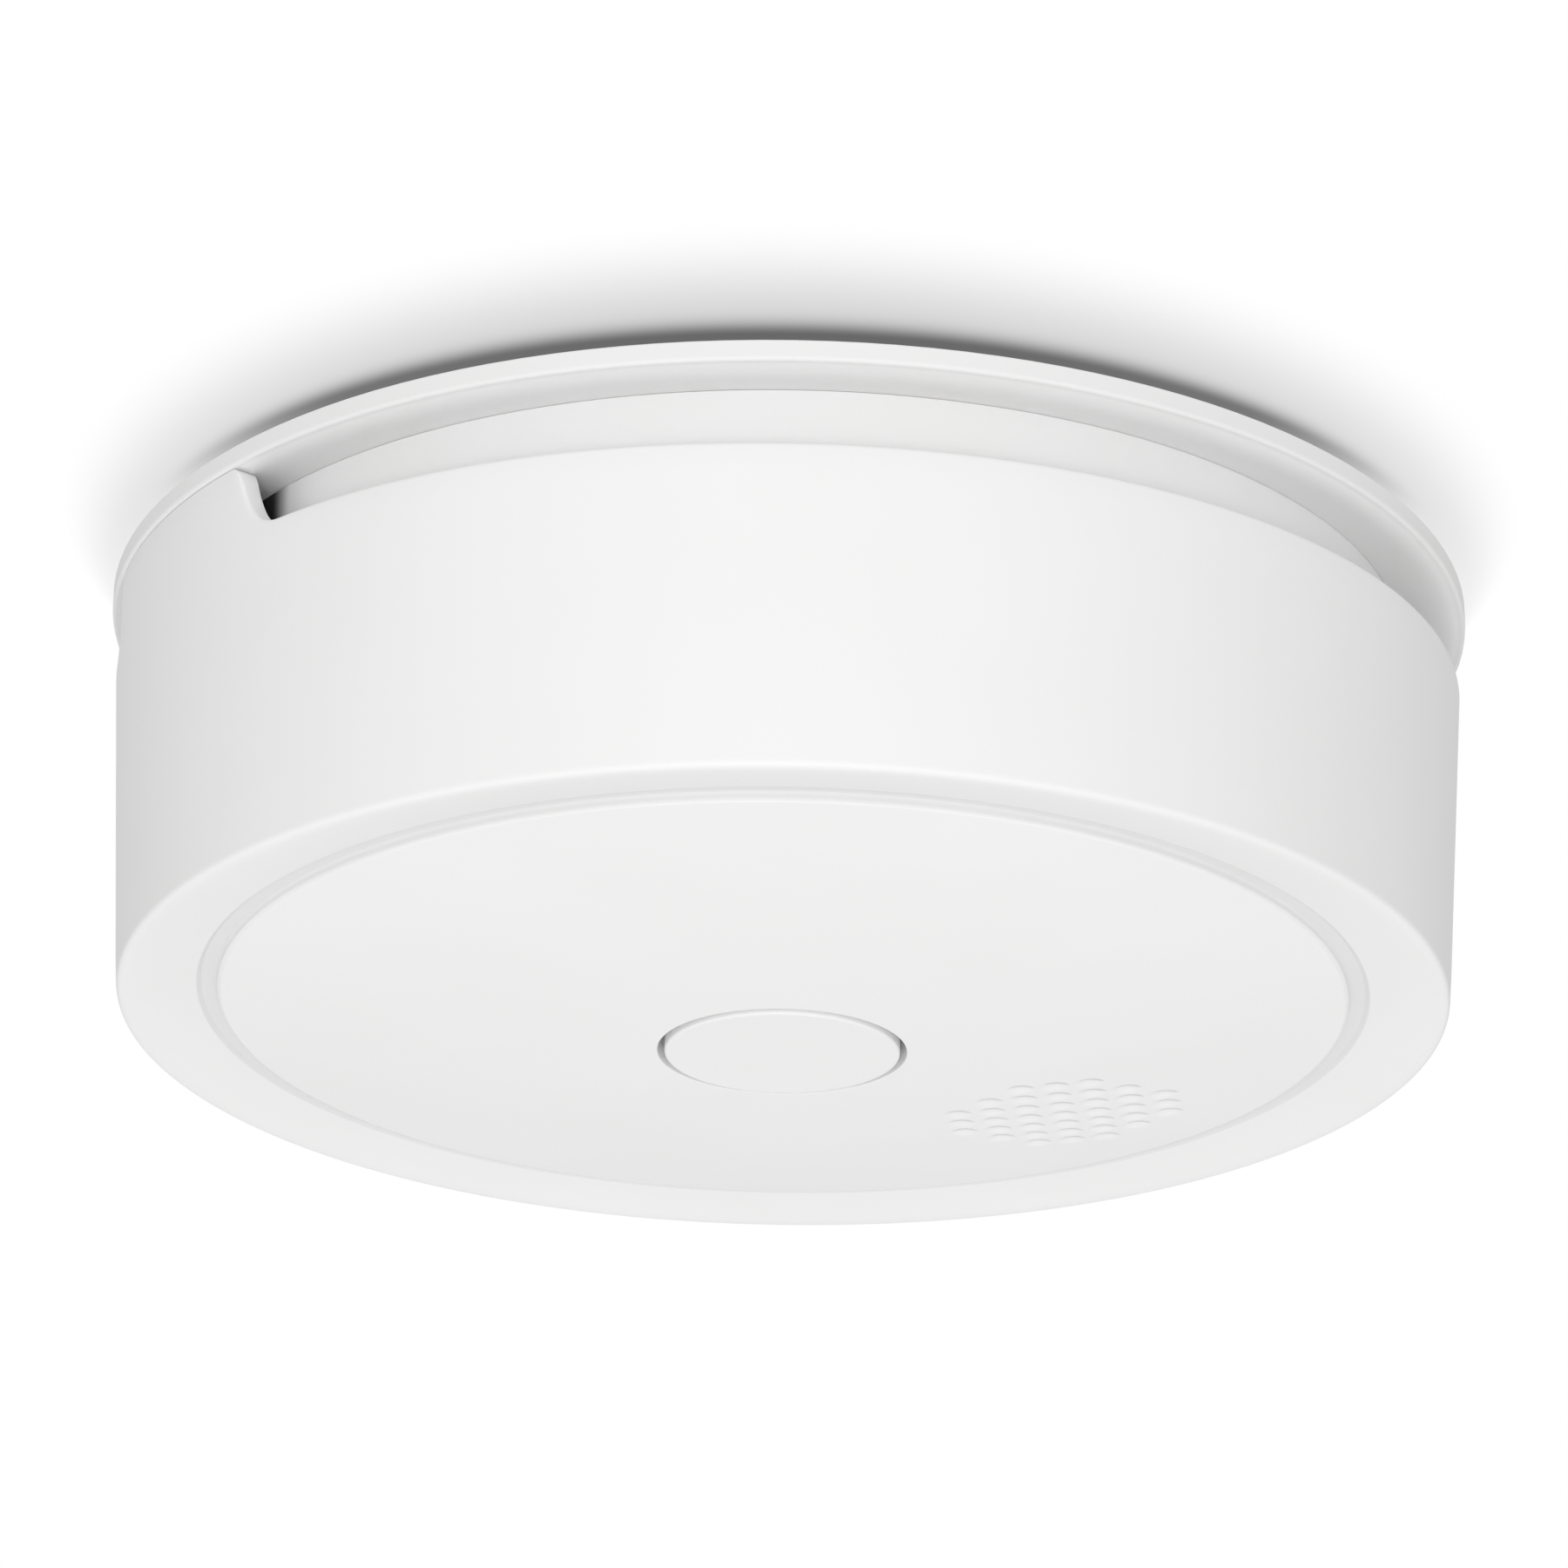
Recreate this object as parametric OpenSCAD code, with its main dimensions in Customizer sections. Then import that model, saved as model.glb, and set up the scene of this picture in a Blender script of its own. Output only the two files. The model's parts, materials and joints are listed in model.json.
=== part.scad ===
// Ceiling smoke alarm, seen as installed: +Z points up into the ceiling and
// z = 0 is the ceiling face of the mounting base. Millimetres throughout.

/* [Overall] */
// Diameter of the flange of the mounting base
flange_d = 119.2; // [119:0.2:122]
// Diameter of the cover at the edge of its face
face_d = 115.4; // [114:0.2:116]
// Distance from the ceiling down to the edge of the face
face_depth = 36.8; // [36.4:0.1:38]
// How far the crown of the domed panel stands below the edge of the face
crown_drop = 3.45; // [3:0.05:3.6]
// Wall thickness of the cover
cover_wall = 2.0; // [1.8:0.1:2.2]
// Radius gained by the cover's wall per millimetre of height
wall_draft = 0.045; // [0.02:0.005:0.05]

/* [Mounting base] */
// Thickness of the flange and plate
plate_t = 1.8; // [1.5:0.1:1.9]
// Distance between the two ceiling screws
screw_spacing = 60; // [50:1:64]
// Width of a screw slot
screw_slot_w = 4.5; // [4:0.1:5]
// End-to-end length of a screw slot
screw_slot_l = 9; // [7:0.5:10]
// How far the alarm turns to leave the base, in degrees
unlock_turn = 15; // [10:1:15]

/* [Smoke inlet] */
// Distance from the ceiling down to the lowest point of the cover's rim
rim_depth = 8.8; // [8:0.1:10]
// How far the rim bows up at 60 degrees from its lowest point
rim_bow = 0.8; // [0.4:0.05:1]
// Angle that one smoke inlet spans, in degrees
inlet_span = 143.4; // [120:0.2:146]
// Direction of the middle of the first inlet, in degrees
inlet_dir = -64.6; // [-80:0.2:-60]
// Direction of the lowest point of the first inlet's rim, in degrees
rim_low_dir = -82; // [-86:1:-64]

/* [Face] */
// Radius of the outer edge of the moulded groove
groove_ro = 50.8; // [50.4:0.1:51.2]
// Radius of the inner edge of the moulded groove
groove_ri = 49.0; // [48.6:0.1:49.2]
// Rise of the sloping rim from the face edge to the groove
rim_rise = 1.15; // [0.8:0.05:1.4]
// Radius of the hole for the test button
button_hole_r = 10.8; // [10.6:0.1:11]
// Gap all round the test button
button_gap = 0.65; // [0.4:0.05:0.7]
// Travel of the test button
button_travel = 0.8; // [0.4:0.1:0.8]
// Distance between dimples of the sounder mark
dimple_pitch = 3.07; // [2.8:0.01:3.2]

/* [Inside] */
// Radius of the housing's round wall
housing_r = 53.8; // [53.6:0.1:54.4]
// Depth of the underside of the circuit board below the ceiling
board_depth = 25.6; // [25.4:0.1:25.8]
// Thickness of the circuit board
board_t = 1.6; // [1.2:0.1:1.6]

/* [Hidden] */
$fn = 96;
eps = 0.01;
// Overlap that joins one shape to another within a piece
sink = 0.3;

// Colours
shell_white = "#f2f2f0";
board_green = "#2f6b3c";
tin = "#c9ccce";
brass = "#c9a24a";
black = "#1b1b1c";

// Levels, all measured from the ceiling face
face_z = -face_depth;
crown_z = face_z - crown_drop;
rim_z = -rim_depth;
rim_turn = rim_low_dir - inlet_dir;
rim_end_z = rim_z + rim_bow * pow(sin(inlet_span / 2 + rim_turn) / sin(60), 2);
leg_top_z = -plate_t - 0.06;
board_z = -board_depth;
board_top = board_z + board_t;

// The domed panel is part of a sphere through its edge and its crown
panel_r = groove_ri - 0.3;
panel_edge_z = face_z + 0.65;
panel_rise = panel_edge_z - crown_z;
dome_r = (panel_r * panel_r + panel_rise * panel_rise) / (2 * panel_rise);
function dome_z(r) = crown_z + dome_r - sqrt(dome_r * dome_r - r * r);
function wall_r(z) = face_d / 2 + wall_draft * (z - face_z);

// Base and bayonet
slot_end = (screw_slot_l - screw_slot_w) / 2;
hook_dirs = [30, 150, 270];
hook_half = 6;
hook_foot = 12;
hook_ri = 47.6;
hook_ro = 49.8;
deck_top = -4.5;
deck_t = 1.8;
deck_low = deck_top - deck_t;
foot_t = 1.6;
foot_gap = 0.15;

// Housing
housing_wall = 2;
housing_top = -plate_t - 0.05;
housing_low = -27;
column_dirs = [90, 210, 330];
column_at = 45;
column_r = 3.6;
screw_shank_r = 1.45;
screw_head_r = 2.75;
screw_head_h = 1.8;
screw_seat_z = -16;
screw_tip_z = -32;

// Battery, lying flat with its terminals towards +X
batt_l = 46.4;
batt_w = 26.5;
batt_h = 17.5;
batt_x = -25;
batt_y = -28.5;
batt_top = -3.7;
batt_low = batt_top - batt_h;
pocket_x0 = batt_x - 0.4;
pocket_x1 = 27.5;
pocket_y0 = batt_y - batt_w / 2 - 0.4;
pocket_y1 = batt_y + batt_w / 2 + 0.4;
pocket_floor = batt_low - 0.2;
pocket_t = 1.5;
pole_z = batt_top - batt_h / 2;
pole_y = 6.35;
clip_x = 24.6;

// Smoke chamber
chamber_x = -27;
chamber_y = 16;
chamber_r = 17.9;
chamber_low = board_top;
chamber_floor = chamber_low + 1.4;
chamber_ceiling = -10.9;
chamber_top = -9.4;
led_z = (chamber_floor + chamber_ceiling) / 2;
emitter_dir = 205;
diode_dir = 335;

// Sounder
sound_dir = 38;
sound_at = 32.1;
horn_r = 14;
horn_low = -32.8;
horn_floor = 1;
gasket_t = 1.6;
plate_seat = -29.1;
plate_r = 12.6;
piezo_plate_t = 0.25;
piezo_ceramic_t = 0.22;
ceramic_r = 9.2;
dimple_r = 1.15;
dimple_depth = 0.42;

// Test button and its switch
button_r = button_hole_r - button_gap;
cap_t = 1.7;
guide_top = -32.5;
guide_t = 1.6;
stop_r = button_hole_r + 1.1;
stop_low = guide_top + 0.08;
stop_t = 1.2;
switch_w = 6;
switch_h = 3.5;
switch_z = board_z - switch_h;
plunger_r = 1.7;
plunger_fit = 0.05;
plunger_low = switch_z - 1.2;
spring_r = 6.4;
spring_wire_r = 0.3;
spring_turns = 6;
spring_low = crown_z + cap_t + 0.1 + spring_wire_r;
spring_top = board_z - spring_wire_r - 0.02;
lamp_x = 4.2;

// ---- Shared shapes ----

function arc(cx, cy, r, a0, a1, n) =
    [for (i = [0:n]) let (a = a0 + (a1 - a0) * i / n) [cx + r * cos(a), cy + r * sin(a)]];

function bezier(p, t) =
    pow(1 - t, 3) * p[0] + 3 * t * pow(1 - t, 2) * p[1] + 3 * t * t * (1 - t) * p[2] + pow(t, 3) * p[3];

module tube(ro, ri, z0, z1) {
    difference() {
        translate([0, 0, z0]) cylinder(r = ro, h = z1 - z0);
        translate([0, 0, z0 - 1]) cylinder(r = ri, h = z1 - z0 + 2);
    }
}

module disc(r, z0, z1) {
    translate([0, 0, z0]) cylinder(r = r, h = z1 - z0);
}

// Part of a ring, from angle a0 to angle a1
module sector(ri, ro, z0, z1, a0, a1) {
    rotate([0, 0, a0]) rotate_extrude(angle = a1 - a0) translate([ri, z0]) square([ro - ri, z1 - z0]);
}

module block(x0, x1, y0, y1, z0, z1) {
    translate([x0, y0, z0]) cube([x1 - x0, y1 - y0, z1 - z0]);
}

module at(r, a) {
    rotate([0, 0, a]) translate([r, 0, 0]) children();
}

module at_chamber() {
    translate([chamber_x, chamber_y, 0]) children();
}

module at_sounder() {
    at(sound_at, sound_dir) children();
}

// ---- Mounting base ----

module screw_slot() {
    for (s = [-1, 1]) translate([s * slot_end, 0, -5]) cylinder(d = screw_slot_w, h = 10);
    block(-slot_end, slot_end, -screw_slot_w / 2, screw_slot_w / 2, -5, 5);
}

module bayonet_hook() {
    foot_top = deck_low - foot_gap;
    sector(hook_ri, hook_ro, foot_top - foot_t - 0.2, -plate_t + sink, -hook_half, hook_half);
    sector(hook_ri + 0.25, hook_ro - 0.25, foot_top - foot_t, foot_top, -hook_half - hook_foot, 1 - hook_half);
}

module mounting_base() {
    flange_r = flange_d / 2;
    lip = 0.35;
    profile = concat(
        [[0, 0], [flange_r - 0.1, 0], [flange_r, -0.1]],
        arc(flange_r - lip, -plate_t + lip, lip, 0, -90, 4),
        [[0, -plate_t]]
    );
    color(shell_white) union() {
        difference() {
            rotate_extrude() polygon(profile);
            for (s = [-1, 1]) translate([s * screw_spacing / 2, 0, 0]) screw_slot();
        }
        for (a = hook_dirs) rotate([0, 0, a]) bayonet_hook();
        tube(21.2, 20, -3, -plate_t + sink);
        tube(42.2, 41, -3, -plate_t + sink);
    }
}

// ---- Rear housing ----

module hook_opening() {
    sector(hook_ri - 0.5, hook_ro + 0.7, deck_low - 1, deck_top + 1,
        -hook_half - 1, hook_half + unlock_turn + 1);
}

module column() {
    disc(column_r, board_top + 0.02, deck_top);
}

module column_bore() {
    disc(screw_shank_r + 0.25, board_top - 1, deck_top + 1);
    disc(screw_head_r + 0.35, screw_seat_z, deck_top + 1);
}

module smoke_window(a) {
    sector(housing_r - housing_wall - 1, housing_r + 1, -21, -10.5, a - 5, a + 5);
}

module pocket_outer() {
    block(pocket_x0 - pocket_t, pocket_x1 + pocket_t, pocket_y0 - pocket_t, pocket_y1 + pocket_t,
        pocket_floor - pocket_t, deck_top);
}

module pocket_inner() {
    block(pocket_x0, pocket_x1, pocket_y0, pocket_y1, pocket_floor, 0);
}

module rear_housing() {
    color(shell_white) difference() {
        union() {
            tube(housing_r, housing_r - housing_wall, housing_low, housing_top);
            disc(housing_r - 1, deck_low, deck_top);
            intersection() {
                pocket_outer();
                disc(housing_r - 1, -40, 0);
            }
            for (a = column_dirs) at(column_at, a) column();
        }
        pocket_inner();
        for (a = hook_dirs) rotate([0, 0, a]) hook_opening();
        for (a = column_dirs) at(column_at, a) column_bore();
        for (a = [110 : 15 : 185]) smoke_window(a);
        for (s = [-1, 1]) block(clip_x + 1.3, clip_x + 2.4, batt_y + s * pole_y - 1.6,
            batt_y + s * pole_y + 1.6, pocket_floor - pocket_t - 1, pocket_floor + 1);
    }
}

// ---- Front cover ----

function cover_outer() = concat(
    [[wall_r(leg_top_z) - 0.3, leg_top_z], [wall_r(leg_top_z), leg_top_z - 0.3]],
    arc(wall_r(face_z + 0.9) - 0.9, face_z + 0.9, 0.9, 0, -80, 6),
    [[groove_ro, face_z + rim_rise], [groove_ro - 0.35, face_z + rim_rise + 0.33]],
    [[groove_ri + 0.3, face_z + rim_rise + 0.33], [groove_ri, face_z + rim_rise + 0.1]],
    [[groove_ri, panel_edge_z + 0.25], [panel_r, panel_edge_z]],
    [for (i = [1 : 8]) let (r = panel_r + (button_hole_r - panel_r) * i / 8) [r, dome_z(r)]]
);

function cover_inner() = concat(
    [for (i = [0 : 8]) let (r = button_hole_r + (panel_r - 1.5 - button_hole_r) * i / 8)
        [r, dome_z(r) + cover_wall]],
    [[groove_ri - 0.5, face_z + rim_rise + cover_wall - 0.1]],
    [[groove_ro + 2.6, face_z + rim_rise + cover_wall - 0.1]],
    [[wall_r(face_z + 3.6) - cover_wall, face_z + 3.6]],
    [[wall_r(leg_top_z) - cover_wall, leg_top_z - 0.2], [wall_r(leg_top_z) - cover_wall + 0.2, leg_top_z]]
);

// End of a leg, which leans back in a soft curve from the rim up to the flange
module leg_end() {
    lean = [[-6.2, leg_top_z + 0.05], [-4.2, leg_top_z], [-5, rim_end_z], [0.3, rim_end_z - 0.1]];
    outline = concat(
        [[-14, 2], [-14, rim_z - 1], [0.6, rim_z - 1]],
        [for (i = [10 : -1 : 0]) bezier(lean, i / 10)],
        [[-6.2, 2]]
    );
    translate([housing_r - 5, 0, 0]) rotate([90, 0, 90]) linear_extrude(20) polygon(outline);
}

// Opening between two legs, whose floor is part of a wide cylinder across it
module inlet_cut() {
    margin = 7;
    bow_y = wall_r(rim_z) * sin(60);
    bow_r = bow_y * bow_y / (2 * rim_bow);
    difference() {
        intersection() {
            sector(housing_r - 3, flange_d / 2 + 3, rim_z - 1, 1,
                -inlet_span / 2 - margin, inlet_span / 2 + margin);
            translate([0, 0, rim_z + bow_r]) rotate([0, 90, rim_turn])
                cylinder(r = bow_r, h = 140, center = true, $fn = 720);
        }
        rotate([0, 0, -inlet_span / 2]) leg_end();
        rotate([0, 0, inlet_span / 2]) mirror([0, 1, 0]) leg_end();
    }
}

module dimple(x, y) {
    r = sqrt(pow(sound_at + x, 2) + y * y);
    ball = (dimple_r * dimple_r + dimple_depth * dimple_depth) / (2 * dimple_depth);
    translate([sound_at + x, y, dome_z(r) + dimple_depth - ball]) sphere(r = ball, $fn = 48);
}

// Seven by seven dimples, set diagonally to the radius, without the corners
module sounder_mark() {
    for (i = [-3 : 3]) for (j = [-3 : 3])
        if (abs(i) + abs(j) < 5) rotate([0, 0, sound_dir])
            dimple(dimple_pitch * (i + j) * sqrt(0.5), dimple_pitch * (j - i) * sqrt(0.5));
}

module boss() {
    disc(3.2, dome_z(column_at) + cover_wall / 2, board_z - 0.03);
}

module front_cover() {
    color(shell_white) difference() {
        union() {
            rotate_extrude() polygon(concat(cover_outer(), cover_inner()));
            tube(button_hole_r + guide_t, button_hole_r, dome_z(button_hole_r) + cover_wall / 2, guide_top);
            for (a = column_dirs) at(column_at, a) boss();
        }
        for (a = [0, 180]) rotate([0, 0, inlet_dir + a]) inlet_cut();
        for (a = column_dirs) at(column_at, a) disc(screw_shank_r + 0.03, screw_tip_z - 0.3, 0);
        sounder_mark();
    }
}

// ---- Fasteners ----

module housing_screw() {
    difference() {
        disc(screw_head_r, screw_seat_z + 0.02, screw_seat_z + screw_head_h);
        for (a = [0, 90]) rotate([0, 0, a])
            block(-1.6, 1.6, -0.35, 0.35, screw_seat_z + 0.8, screw_seat_z + 3);
    }
    disc(screw_shank_r, screw_tip_z + 1, screw_seat_z + 0.5);
    translate([0, 0, screw_tip_z]) cylinder(r1 = 0.5, r2 = screw_shank_r, h = 1);
}

module housing_screws() {
    color(tin) for (a = column_dirs) at(column_at, a) housing_screw();
}

// ---- Test button ----

module test_button() {
    edge = 0.6;
    side_z = dome_z(button_r - edge) + edge;
    skirt_r = button_r - 1.25;
    stem_r = 1.6;
    cap_in = crown_z + cap_t;
    outline = concat(
        [for (i = [0 : 4]) let (r = (button_r - edge) * i / 4) [r, dome_z(r)]],
        arc(button_r - edge, side_z, edge, -70, 0, 4),
        [[button_r, stop_low], [stop_r, stop_low], [stop_r, stop_low + stop_t]],
        [[skirt_r, stop_low + stop_t], [skirt_r, cap_in + 0.3], [skirt_r - 0.3, cap_in]],
        [[stem_r, cap_in], [stem_r, plunger_low - 0.03], [0, plunger_low - 0.03]]
    );
    color(shell_white) difference() {
        union() {
            rotate_extrude() polygon(outline);
            translate([lamp_x, 0, 0]) disc(1.5, cap_in - 0.5, cap_in + 3);
        }
        translate([lamp_x, 0, 0]) disc(0.85, cap_in - 0.6, cap_in + 4);
    }
}

module light_guide() {
    color("#e8f0f4", 0.7) translate([lamp_x, 0, 0]) disc(0.82, crown_z + cap_t - 0.58, board_z - 1.75);
}

function coil_point(t) =
    let (a = 360 * spring_turns * t)
    [spring_r * cos(a), spring_r * sin(a), spring_low + (spring_top - spring_low) * t];

module button_spring() {
    sides = 8;
    steps = spring_turns * 18;
    points = [for (i = [0 : steps]) let (p = coil_point(i / steps), a = 360 * spring_turns * i / steps)
        for (k = [0 : sides - 1]) let (b = 360 * k / sides)
            [p[0] + spring_wire_r * cos(b) * cos(a), p[1] + spring_wire_r * cos(b) * sin(a),
             p[2] + spring_wire_r * sin(b)]];
    skin = [for (i = [0 : steps - 1]) for (k = [0 : sides - 1]) let (n = (k + 1) % sides)
        [i * sides + k, (i + 1) * sides + k, (i + 1) * sides + n, i * sides + n]];
    ends = [[for (k = [0 : sides - 1]) k], [for (k = [sides - 1 : -1 : 0]) steps * sides + k]];
    color(tin) polyhedron(points = points, faces = concat(skin, ends));
}

module tact_switch() {
    color(black) difference() {
        block(-switch_w / 2, switch_w / 2, -switch_w / 2, switch_w / 2, switch_z, board_z - 0.02);
        disc(plunger_r + plunger_fit, switch_z - 1, switch_z + 0.9 + button_travel + 0.1);
    }
}

module switch_plunger() {
    color("#e9e4d8") disc(plunger_r, plunger_low, switch_z + 0.9);
}

// ---- Circuit board and what is on it ----

module circuit_board() {
    color(board_green) difference() {
        disc(housing_r - housing_wall - 0.6, board_z, board_top);
        for (a = column_dirs) at(column_at, a) disc(screw_shank_r + 0.25, board_z - 1, board_top + 1);
    }
}

chip_x = 5;
chip_y = 1;
chip_l = 10.3;
chip_w = 7.5;

module controller_chip() {
    color(black) translate([chip_x, chip_y, board_top]) difference() {
        block(-chip_l / 2, chip_l / 2, -chip_w / 2, chip_w / 2, 0.25, 2.5);
        translate([-chip_l / 2 + 1.2, -chip_w / 2 + 1.2, 2.3]) cylinder(r = 0.5, h = 1);
    }
}

module chip_leads() {
    color(tin) for (s = [-1, 1]) for (i = [0 : 7])
        translate([chip_x + (i - 3.5) * 1.27 - 0.2, chip_y, board_top]) {
            rotate([90, 0, 90]) linear_extrude(0.4) polygon([
                [s * (chip_w / 2 + 0.01), 1.2], [s * (chip_w / 2 + 0.01), 1.5], [s * (chip_w / 2 + 0.7), 1.5],
                [s * (chip_w / 2 + 1), 0.3], [s * (chip_w / 2 + 1.6), 0.3], [s * (chip_w / 2 + 1.6), 0.02],
                [s * (chip_w / 2 + 0.75), 0.02], [s * (chip_w / 2 + 0.45), 1.2]
            ]);
        }
}

// Small surface-mount resistors and capacitors in short rows
module board_components() {
    color("#3a3430") for (row = [0 : 3]) for (i = [0 : 3])
        translate([3 + 4.4 * i + row, 13 + 5 * row, board_top + 0.02])
            block(-1, 1, -0.62, 0.62, 0, row % 2 == 0 ? 0.55 : 0.9);
}

module electrolytic_capacitors() {
    color("#2b3a66") for (p = [[27, 4, 4, 10.5], [38, 5, 4, 10.5], [17, 36, 3.15, 8]])
        translate([p[0], p[1], board_top + 0.02]) {
            cylinder(r = p[2], h = p[3] - 0.4);
            translate([0, 0, p[3] - 0.4]) cylinder(r1 = p[2], r2 = p[2] - 0.4, h = 0.4);
        }
}

inductor_x = 33;
inductor_y = 23;

module inductor_core() {
    color("#3b3b3d") translate([inductor_x, inductor_y, board_top + 0.02]) {
        cylinder(r = 5.5, h = 1.4);
        cylinder(r = 2.6, h = 10);
        translate([0, 0, 8.6]) cylinder(r = 5.5, h = 1.4);
    }
}

module inductor_winding() {
    color("#b0602c") translate([inductor_x, inductor_y, board_top]) tube(4.9, 2.65, 1.5, 8.5);
}

module status_led() {
    color("#f6f3e6") block(lamp_x - 0.55, lamp_x + 0.55, -0.9, 0.9, board_z - 0.8, board_z - 0.02);
}

// ---- Smoke chamber ----

module led_holder(a) {
    at(12.4, a) difference() {
        block(-3.6, 3.2, -3.7, 3.7, chamber_floor - eps, led_z + 3.4);
        translate([0, 0, led_z]) rotate([0, 90, 0]) cylinder(r = 2.62, h = 20, center = true);
    }
}

// A bent vane keeps light out and lets smoke past
module vane() {
    translate([0, 0, chamber_floor - eps]) linear_extrude(chamber_ceiling - chamber_floor - 0.1)
        polygon([[11.6, -1.4], [12.3, -1.9], [14.6, 0.5], [16.6, -1.2], [17, -0.5], [14.6, 1.7]]);
}

module chamber_base() {
    color(black) at_chamber() {
        disc(chamber_r, chamber_low + 0.02, chamber_floor);
        for (i = [0 : 14]) let (a = i * 24)
            if (abs(a - emitter_dir) > 28 && abs(a - diode_dir) > 28) rotate([0, 0, a]) vane();
        for (a = [emitter_dir, diode_dir]) led_holder(a);
    }
}

module chamber_cap() {
    color(black) at_chamber() {
        disc(chamber_r, chamber_ceiling, chamber_top);
        tube(chamber_r, chamber_r - 0.35, chamber_ceiling - 1.2, chamber_ceiling + eps);
    }
}

module insect_screen() {
    cell = 15;
    color("#6f7274") at_chamber() difference() {
        tube(chamber_r - 0.4, chamber_r - 0.7, chamber_floor + 0.02, chamber_ceiling - 0.02);
        for (i = [0 : 360 / cell - 1]) for (k = [0 : 2])
            rotate([0, 0, i * cell]) block(12, 20, -1.9, 1.9,
                chamber_floor + 0.8 + 3.6 * k, chamber_floor + 3.8 + 3.6 * k);
    }
}

module bullet_led() {
    rotate([0, -90, 0]) {
        cylinder(r = 2.5, h = 4.6);
        sphere(r = 2.5, $fn = 48);
        translate([0, 0, 4.6]) cylinder(r = 2.9, h = 1);
    }
}

module infrared_emitter() {
    color("#4a5a86") at_chamber() rotate([0, 0, emitter_dir]) translate([11.2, 0, led_z])
        rotate([0, 0, 180]) bullet_led();
}

module photodiode() {
    color("#1a1d26") at_chamber() rotate([0, 0, diode_dir]) translate([11.2, 0, led_z])
        rotate([0, 0, 180]) bullet_led();
}

// ---- Sounder ----

module horn_body() {
    color("#d9d6cc") at_sounder() union() {
        tube(horn_r, plate_r + 0.3, horn_low, board_z - 0.03);
        tube(plate_r + 0.5, plate_r - 0.9, horn_low, plate_seat - 0.02);
        tube(plate_r, 3, horn_low, horn_low + horn_floor);
    }
}

module horn_gasket() {
    color("#333436") at_sounder() tube(13.4, 10, horn_low - gasket_t, horn_low - 0.01);
}

module piezo_plate() {
    color(brass) at_sounder() disc(plate_r, plate_seat, plate_seat + piezo_plate_t);
}

module piezo_ceramic() {
    color("#e6e3da") at_sounder()
        disc(ceramic_r, plate_seat + piezo_plate_t, plate_seat + piezo_plate_t + piezo_ceramic_t);
}

module contact_pin(x, y, z) {
    translate([x, y, 0]) {
        disc(0.4, z + 0.01, board_z - 0.02);
        disc(0.9, board_z - 0.6, board_z - 0.02);
    }
}

module piezo_contacts() {
    ceramic_z = plate_seat + piezo_plate_t + piezo_ceramic_t;
    color(brass) at_sounder() {
        contact_pin(0, 0, ceramic_z);
        contact_pin(-6, 5, ceramic_z);
        contact_pin(8, -7.6, plate_seat + piezo_plate_t);
    }
}

// ---- Battery ----

module battery_outline(w, h, r) {
    for (x = [-1, 1]) for (y = [-1, 1]) translate([x * (w / 2 - r), y * (h / 2 - r)]) circle(r = r);
    square([w - 2 * r, h], center = true);
    square([w, h - 2 * r], center = true);
}

module battery() {
    color("#3d4045") translate([batt_x, batt_y, pole_z])
        rotate([90, 0, 90]) linear_extrude(batt_l) battery_outline(batt_w, batt_h, 1.8);
}

module along_x(x, y) {
    translate([x, batt_y + y, pole_z]) rotate([0, 90, 0]) children();
}

module battery_terminals() {
    x = batt_x + batt_l + 0.01;
    color(tin) {
        along_x(x, pole_y) cylinder(r = 2.8, h = 2.1);
        along_x(x, -pole_y) difference() {
            cylinder(r = 4.3, h = 2.1);
            translate([0, 0, 0.4]) cylinder(r = 3.1, h = 3);
        }
    }
}

module clip_plate() {
    color("#202124") block(clip_x, clip_x + 1.2, batt_y - 12.6, batt_y + 12.6, pocket_floor + 0.02, -5);
}

module battery_clips() {
    x = batt_x + batt_l + 0.6;
    color(tin) {
        along_x(x, pole_y) difference() {
            cylinder(r = 4.1, h = clip_x - x - eps);
            translate([0, 0, -1]) cylinder(r = 3, h = 3.4);
        }
        along_x(x, -pole_y) cylinder(r = 2.7, h = clip_x - x - eps);
    }
}

module clip_leads() {
    color(tin) for (s = [-1, 1]) block(clip_x + 1.45, clip_x + 1.85, batt_y + s * pole_y - 1.2,
        batt_y + s * pole_y + 1.2, board_top + 0.02, pole_z + 1.5);
}

mounting_base();
rear_housing();
front_cover();
housing_screws();
test_button();
light_guide();
button_spring();
tact_switch();
switch_plunger();
circuit_board();
controller_chip();
chip_leads();
board_components();
electrolytic_capacitors();
inductor_core();
inductor_winding();
status_led();
chamber_base();
chamber_cap();
insect_screen();
infrared_emitter();
photodiode();
horn_body();
horn_gasket();
piezo_plate();
piezo_ceramic();
piezo_contacts();
battery();
battery_terminals();
battery_clips();
clip_plate();
clip_leads();
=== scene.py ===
"""Looks of a ceiling smoke alarm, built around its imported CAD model.

Shapes are worked out in millimetres and turned into metres when a mesh is made. The alarm hangs from a
ceiling at z = 0, so its face is at the lowest z. Directions are in degrees round its axis.
"""

import json
import math

import bmesh
import bpy
from mathutils import Euler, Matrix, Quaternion, Vector


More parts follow.
